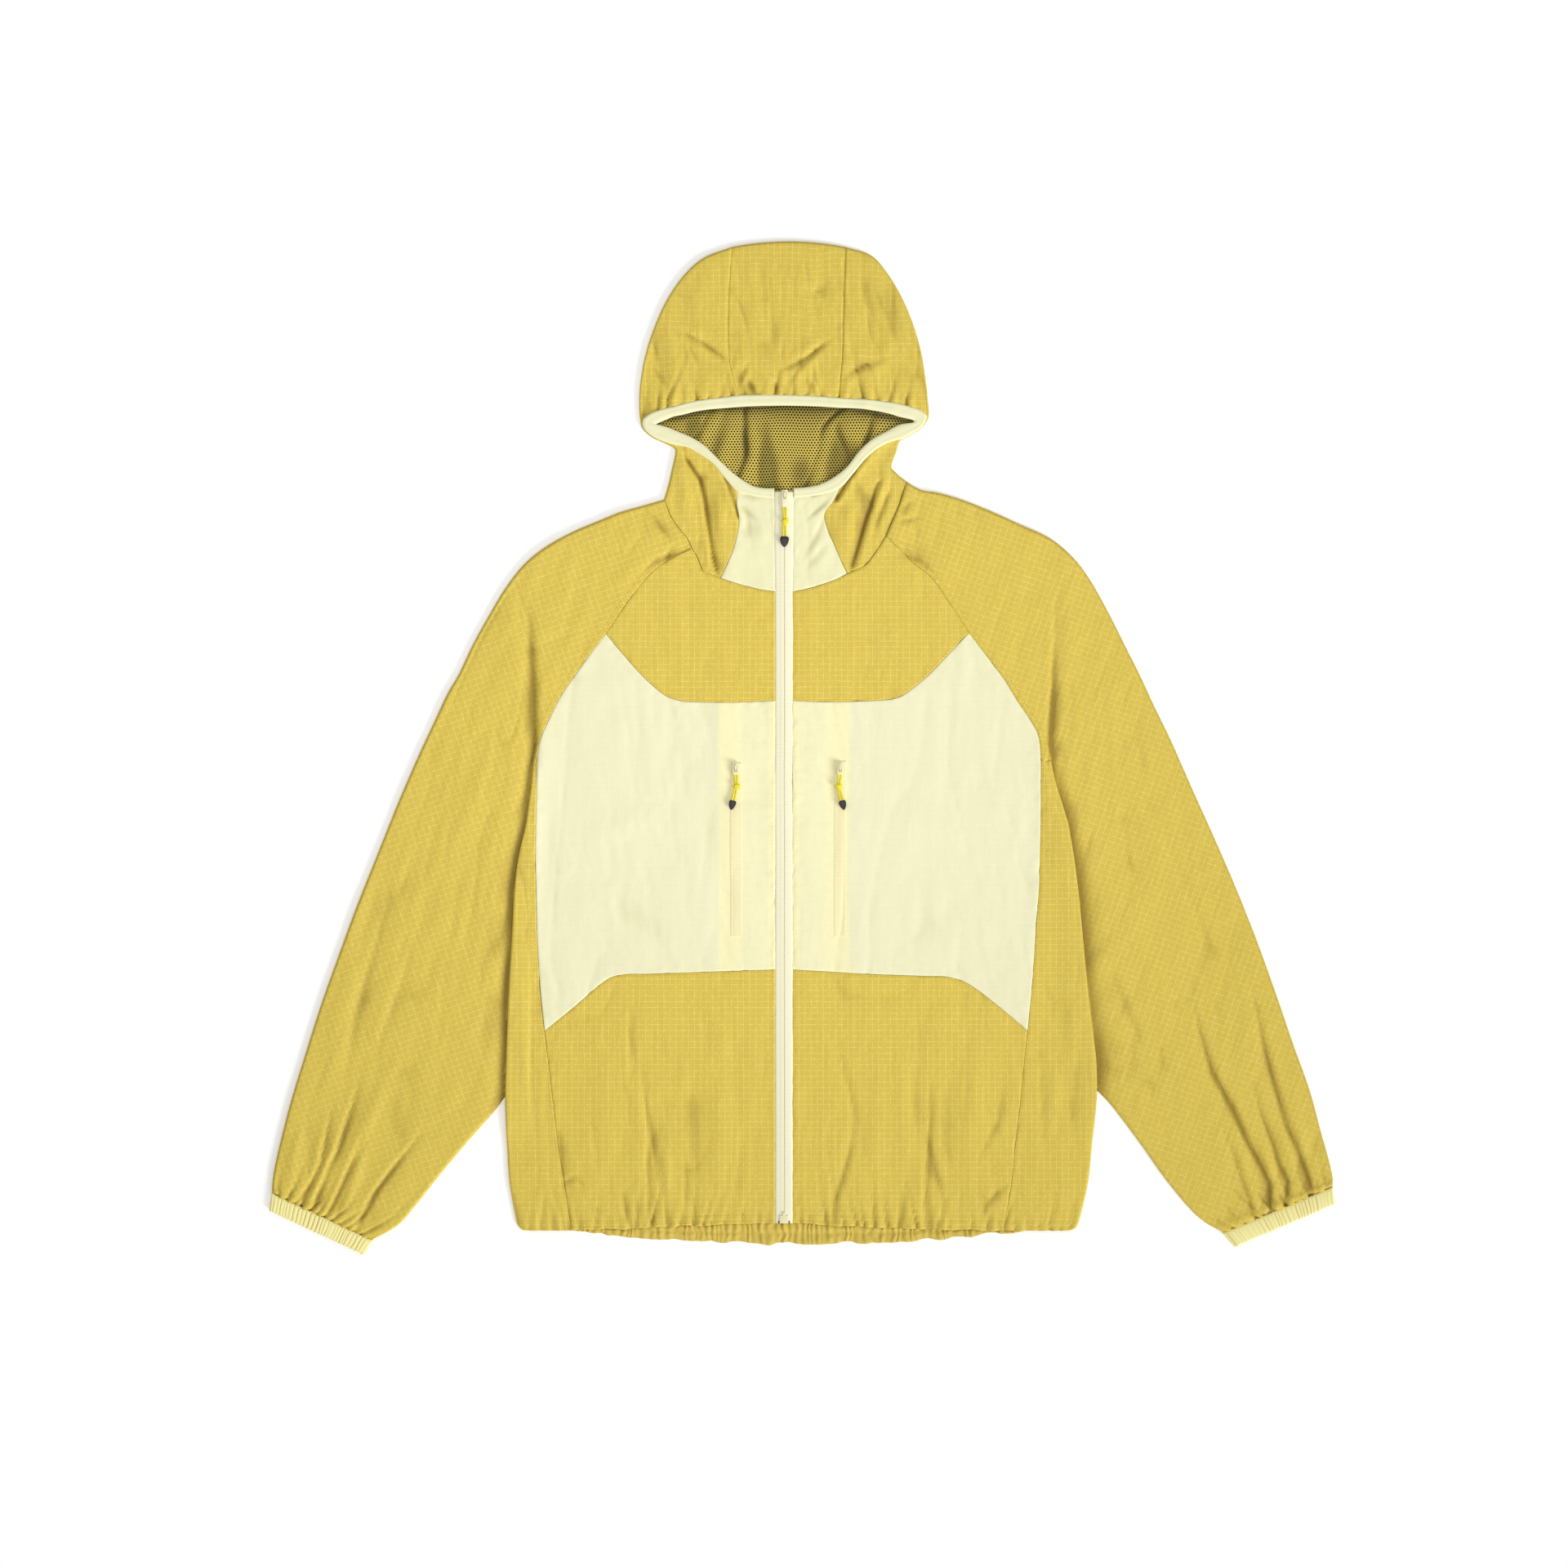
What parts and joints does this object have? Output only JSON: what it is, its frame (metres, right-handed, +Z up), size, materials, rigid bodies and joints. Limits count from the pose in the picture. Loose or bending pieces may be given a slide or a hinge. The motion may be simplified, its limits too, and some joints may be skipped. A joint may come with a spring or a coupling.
{
  "type": "windbreaker jacket",
  "caption": "Hooded raglan windbreaker lying flat on its back, mustard and pale panels, mesh-lined hood, gathered cuffs and hem, closed front zip and two pocket zips.",
  "frame": {"origin": "point on the floor under the main zip's line, midway between the front neck seam and the front hem, on the back panel's underside", "axes": "+Z up out of the laid-out jacket, +X across it towards the wearer's left sleeve, +Y up the jacket towards the hood"},
  "size_m": [1.0173, 0.967, 0.0116],
  "materials": {
    "mustard_nylon": "matt ripstop weave",
    "pale_nylon": "matt fine weave",
    "cuff_nylon": "gathered matt weave",
    "zip_tape": "ribbed tape",
    "slider_resin": "satin",
    "bright_cord": "braided",
    "dark_tip": "satin",
    "mesh": "open knitted mesh",
    "edging": "smooth stretch edging"
  },
  "bodies": {
    "jacket": {"back_panel": "mustard_nylon", "back_hem": "mustard_nylon", "right_side_panel": "mustard_nylon", "right_sleeve": "mustard_nylon", "right_cuff": "cuff_nylon", "right_yoke": "mustard_nylon", "right_middle_panel": "pale_nylon", "right_lower_front": "mustard_nylon", "right_chin_guard": "pale_nylon", "right_hood_side": "mustard_nylon", "right_zip_tape": "zip_tape", "right_pocket_zip": "zip_tape", "right_pocket_slider": "slider_resin", "left_side_panel": "mustard_nylon", "left_sleeve": "mustard_nylon", "left_cuff": "cuff_nylon", "left_yoke": "mustard_nylon", "left_middle_panel": "pale_nylon", "left_lower_front": "mustard_nylon", "left_chin_guard": "pale_nylon", "left_hood_side": "mustard_nylon", "left_zip_tape": "zip_tape", "left_pocket_zip": "zip_tape", "left_pocket_slider": "slider_resin", "hood_centre": "mustard_nylon", "hood_lining": "mesh", "hood_binding": "edging", "main_slider": "slider_resin"},
    "right_pull": {"right_pocket_cord": "bright_cord", "right_pocket_tip": "dark_tip"},
    "left_pull": {"left_pocket_cord": "bright_cord", "left_pocket_tip": "dark_tip"},
    "main_pull": {"main_tab": "zip_tape", "main_cord": "bright_cord", "main_tip": "dark_tip"}
  },
  "joints": [
    {"name": "main_pull_hinge", "type": "hinge", "parent": "jacket", "child": "main_pull", "pos_m": [0.0006, 0.3925, 0.00985], "axis": [-1, 0, 0], "range_deg": [0, 150]},
    {"name": "right_pull_hinge", "type": "hinge", "parent": "jacket", "child": "right_pull", "pos_m": [-0.04605, 0.1325, 0.00935], "axis": [-1, 0, 0], "range_deg": [0, 150]},
    {"name": "left_pull_hinge", "type": "hinge", "parent": "jacket", "child": "left_pull", "pos_m": [0.05345, 0.1325, 0.00935], "axis": [-1, 0, 0], "range_deg": [0, 150]}
  ]
}
